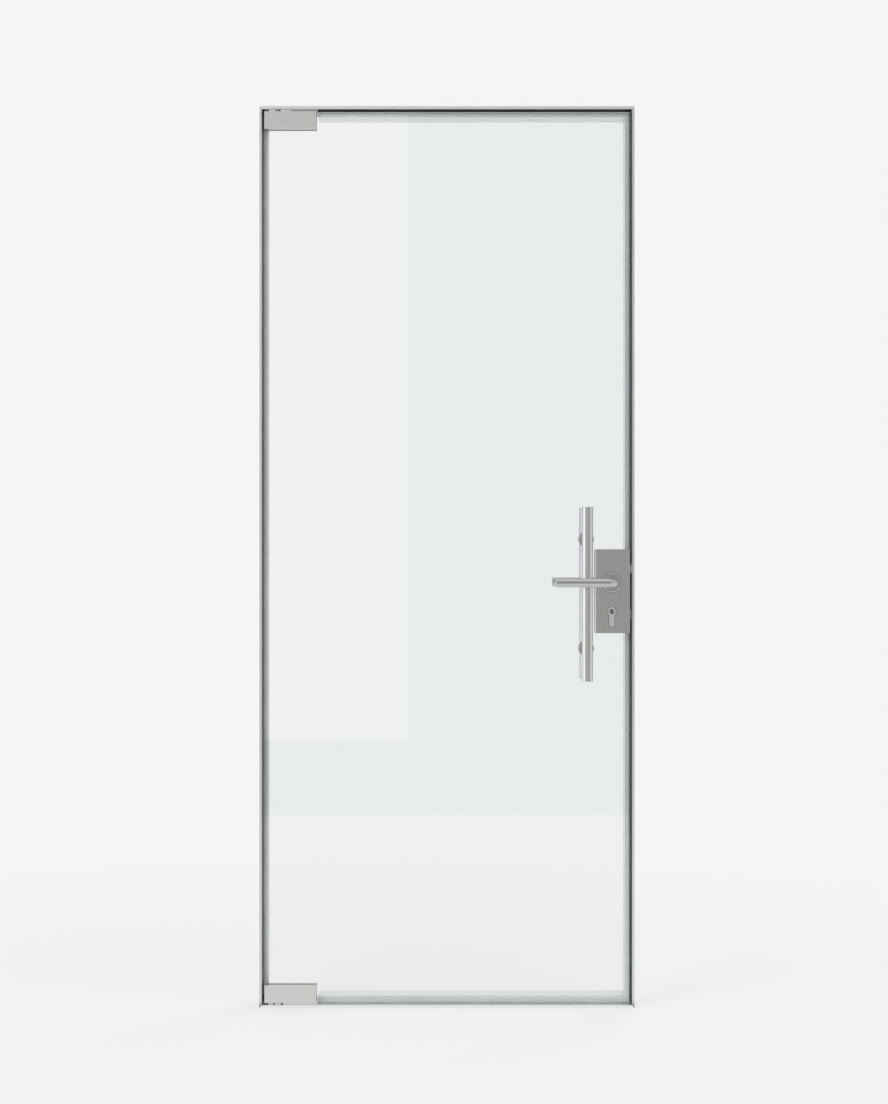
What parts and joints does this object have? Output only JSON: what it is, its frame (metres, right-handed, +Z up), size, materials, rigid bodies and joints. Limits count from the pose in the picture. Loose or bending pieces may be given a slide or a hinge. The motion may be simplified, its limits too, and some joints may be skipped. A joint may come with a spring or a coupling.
{
  "type": "interior glass door with frame",
  "caption": "Clear glass door leaf on corner pivots in a slim mitred metal frame, with a patch lock, lever handles and tubular pull bars.",
  "frame": {"origin": "floor level, middle of the frame's width and middle of the glass's thickness", "axes": "+Z up, +X from the hinge side to the lock side, -Y out of the front, where the leaf opens to"},
  "size_m": [0.88, 0.175, 2.115],
  "materials": {
    "frame_metal": "satin anodised",
    "stop_metal": "satin anodised",
    "gasket_rubber": "matt black",
    "seal_grey": "matt grey",
    "cleat_metal": "mill",
    "pivot_steel": "turned",
    "screw_steel": "plated",
    "strike_steel": "satin",
    "clear_glass": "clear toughened, polished edges",
    "clamp_metal": "cast",
    "patch_steel": "satin",
    "bush_bronze": "turned bronze",
    "pad_rubber": "matt",
    "lock_case_steel": "satin",
    "forend_steel": "satin",
    "inner_steel": "zinc plated",
    "rose_steel": "satin",
    "cylinder_nickel": "satin nickel",
    "lever_steel": "satin",
    "pull_steel": "satin",
    "bush_nylon": "moulded"
  },
  "bodies": {
    "frame": {"frame_header": "frame_metal", "frame_jamb_hinge": "frame_metal", "frame_jamb_lock": "frame_metal", "frame_sill": "frame_metal", "gasket_header": "gasket_rubber", "gasket_hinge": "seal_grey", "gasket_lock": "gasket_rubber", "gasket_sill": "gasket_rubber", "stop_header": "stop_metal", "stop_hinge": "stop_metal", "stop_lock": "stop_metal", "stop_sill": "stop_metal", "corner_cleats": "cleat_metal", "bottom_pivot": "pivot_steel", "top_pivot": "pivot_steel", "thrust_washer": "pivot_steel", "pivot_screws": "screw_steel", "strike_plate": "strike_steel", "strike_screws": "screw_steel"},
    "leaf": {"bottom_patch_back_clamp": "clamp_metal", "bottom_patch_back_cover": "patch_steel", "bottom_patch_bush": "bush_bronze", "bottom_patch_front_clamp": "clamp_metal", "bottom_patch_front_cover": "patch_steel", "cylinder_body": "cylinder_nickel", "cylinder_screw": "screw_steel", "glass_leaf": "clear_glass", "lock_back_cover": "lock_case_steel", "lock_case_screws": "screw_steel", "lock_chassis": "inner_steel", "lock_forend": "forend_steel", "lock_front_cover": "lock_case_steel", "lock_pads": "pad_rubber", "patch_pads": "pad_rubber", "patch_screws": "screw_steel", "pull_bar_back": "pull_steel", "pull_bar_front": "pull_steel", "pull_bushes": "bush_nylon", "pull_end_caps": "pull_steel", "pull_posts": "pull_steel", "pull_rosettes": "pull_steel", "pull_studs": "screw_steel", "return_springs": "inner_steel", "rose_back": "rose_steel", "rose_front": "rose_steel", "top_patch_back_clamp": "clamp_metal", "top_patch_back_cover": "patch_steel", "top_patch_bush": "bush_bronze", "top_patch_front_clamp": "clamp_metal", "top_patch_front_cover": "patch_steel"},
    "levers": {"lever_front": "lever_steel", "lever_back": "lever_steel", "spindle": "inner_steel", "follower": "inner_steel", "lever_grub_screws": "screw_steel"},
    "latch": {"latch_bolt": "inner_steel"},
    "deadbolt": {"deadbolt": "inner_steel"},
    "key_plug": {"key_plugs": "cylinder_nickel", "lock_cam": "inner_steel"}
  },
  "joints": [
    {"name": "leaf_swing", "type": "hinge", "parent": "frame", "child": "leaf", "pos_m": [-0.3965, 0, 0], "axis": [0, 0, -1], "range_deg": [0, 100]},
    {"name": "lever_turn", "type": "hinge", "parent": "leaf", "child": "levers", "pos_m": [0.386, 0, 0.9975], "axis": [0, -1, 0], "range_deg": [0, 35], "stiffness_Nm_per_rad": 1.5, "springref_deg": -34.38},
    {"name": "latch_slide", "type": "slide", "parent": "leaf", "child": "latch", "axis": [-1, 0, 0], "range_m": [0, 0.0101]},
    {"name": "key_turn", "type": "hinge", "parent": "leaf", "child": "key_plug", "pos_m": [0.386, 0, 0.9297], "axis": [0, 1, 0], "range_deg": [0, 360]},
    {"name": "deadbolt_slide", "type": "slide", "parent": "leaf", "child": "deadbolt", "axis": [1, 0, 0], "range_m": [0, 0.012]}
  ],
  "couplings": [
    {"joint": "latch_slide", "follows": "lever_turn", "m_per_rad": 0.01637},
    {"joint": "key_turn", "follows": "deadbolt_slide", "rad_per_m": 523.59}
  ]
}
